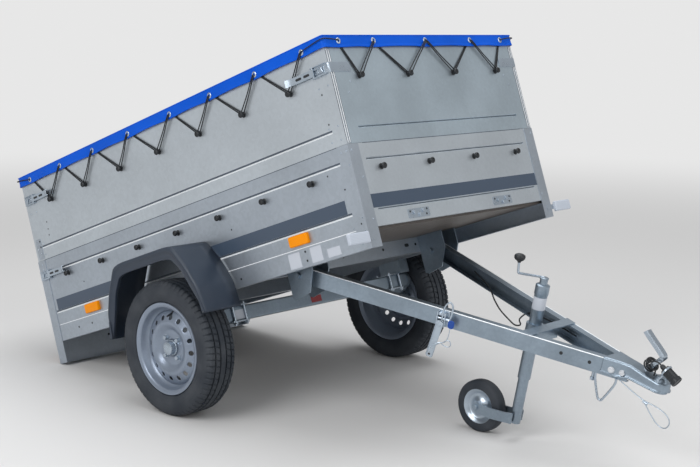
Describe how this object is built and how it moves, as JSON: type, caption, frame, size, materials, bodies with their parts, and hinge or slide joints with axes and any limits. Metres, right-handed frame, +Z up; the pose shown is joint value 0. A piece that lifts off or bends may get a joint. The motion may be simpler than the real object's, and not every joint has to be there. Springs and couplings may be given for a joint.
{
  "type": "utility trailer",
  "caption": "Small galvanised single-axle box trailer with raised sides, stretched tarpaulin, V drawbar and jockey wheel, standing tipped back on its rear edge.",
  "frame": {"origin": "on the floor, below the middle of the whole trailer as it stands tipped", "axes": "+X forward, the way it is towed, +Y to its left, +Z up"},
  "size_m": [3.0682, 1.476, 1.4824],
  "materials": {
    "amber_lens": "amber",
    "black_plastic": "moulded black",
    "galvanised_sheet": "galvanised, satin",
    "galvanised_steel": "hot-dip galvanised",
    "grey_plastic": "moulded dark grey",
    "plate": "blank",
    "plywood": "film-faced brown",
    "red_lens": "red",
    "silver_paint": "silver paint",
    "tarpaulin": "coated blue",
    "tyre": "rubber",
    "white_lens": "white",
    "zinc_plated": "zinc plated"
  },
  "bodies": {
    "box": {"axle_arm_left": "galvanised_steel", "axle_arm_right": "galvanised_steel", "axle_beam": "galvanised_steel", "corner_latches": "zinc_plated", "corner_posts_front": "galvanised_sheet", "corner_posts_rear": "galvanised_sheet", "cross_member_1": "galvanised_sheet", "cross_member_2": "galvanised_sheet", "extension_corners": "galvanised_sheet", "extension_front": "galvanised_sheet", "extension_left": "galvanised_sheet", "extension_rear": "galvanised_sheet", "extension_right": "galvanised_sheet", "floor": "plywood", "front_board": "galvanised_sheet", "front_hooks": "black_plastic", "front_markers": "white_lens", "front_plates": "zinc_plated", "mudguard_left": "grey_plastic", "mudguard_right": "grey_plastic", "number_plate_board": "plate", "pivot_bracket_left": "galvanised_steel", "pivot_bracket_right": "galvanised_steel", "rear_hooks": "black_plastic", "rear_lamps": "red_lens", "rear_light_board": "galvanised_sheet", "side_board_left": "galvanised_sheet", "side_board_right": "galvanised_sheet", "side_hooks": "black_plastic", "side_markers": "amber_lens", "side_rail_left": "galvanised_sheet", "side_rail_right": "galvanised_sheet", "tailgate_hinges": "galvanised_sheet", "tarpaulin": "tarpaulin"},
    "wheel_right": {"tyre_right": "tyre", "rim_right": "silver_paint", "hub_right": "zinc_plated"},
    "wheel_left": {"tyre_left": "tyre", "rim_left": "silver_paint", "hub_left": "zinc_plated"},
    "tailgate": {"tailgate": "galvanised_sheet", "tailgate_hooks": "black_plastic"},
    "drawbar": {"drawbar_beam_left": "galvanised_steel", "drawbar_beam_right": "galvanised_steel", "drawbar_brace": "galvanised_steel", "coupling": "zinc_plated", "coupling_handle": "zinc_plated", "tip_latch": "galvanised_steel", "jockey_tube": "galvanised_steel", "jockey_clamp": "galvanised_steel", "jockey_crank": "galvanised_steel", "lighting_plug": "black_plastic", "lighting_coil": "black_plastic", "lighting_lead": "black_plastic", "breakaway_wire": "zinc_plated", "breakaway_loop": "zinc_plated", "safety_ring": "zinc_plated"},
    "jockey_leg": {"jockey_leg": "galvanised_steel"},
    "jockey_wheel": {"jockey_rim": "silver_paint", "jockey_tyre": "tyre"}
  },
  "joints": [
    {"name": "wheel_right_spin", "type": "hinge", "parent": "box", "child": "wheel_right", "pos_m": [-0.28146, -0.652, 0.2666], "axis": [0, 1, 0], "continuous": true},
    {"name": "wheel_left_spin", "type": "hinge", "parent": "box", "child": "wheel_left", "pos_m": [-0.28146, 0.652, 0.2666], "axis": [0, 1, 0], "continuous": true},
    {"name": "drawbar_tip", "type": "hinge", "parent": "box", "child": "drawbar", "pos_m": [0.16722, 0, 0.58184], "axis": [0, -1, 0], "range_deg": [0, 30.55]},
    {"name": "tailgate_drop", "type": "hinge", "parent": "box", "child": "tailgate", "pos_m": [-1.28625, 0, 0.15704], "axis": [0, -1, 0], "range_deg": [0, 90]},
    {"name": "jockey_wind", "type": "slide", "parent": "drawbar", "child": "jockey_leg", "axis": [0.1928, 0, 0.9812], "range_m": [-0.1, 0.115]},
    {"name": "jockey_wheel_spin", "type": "hinge", "parent": "jockey_leg", "child": "jockey_wheel", "pos_m": [0.71459, 0, 0.1], "axis": [0, 1, 0], "continuous": true}
  ]
}
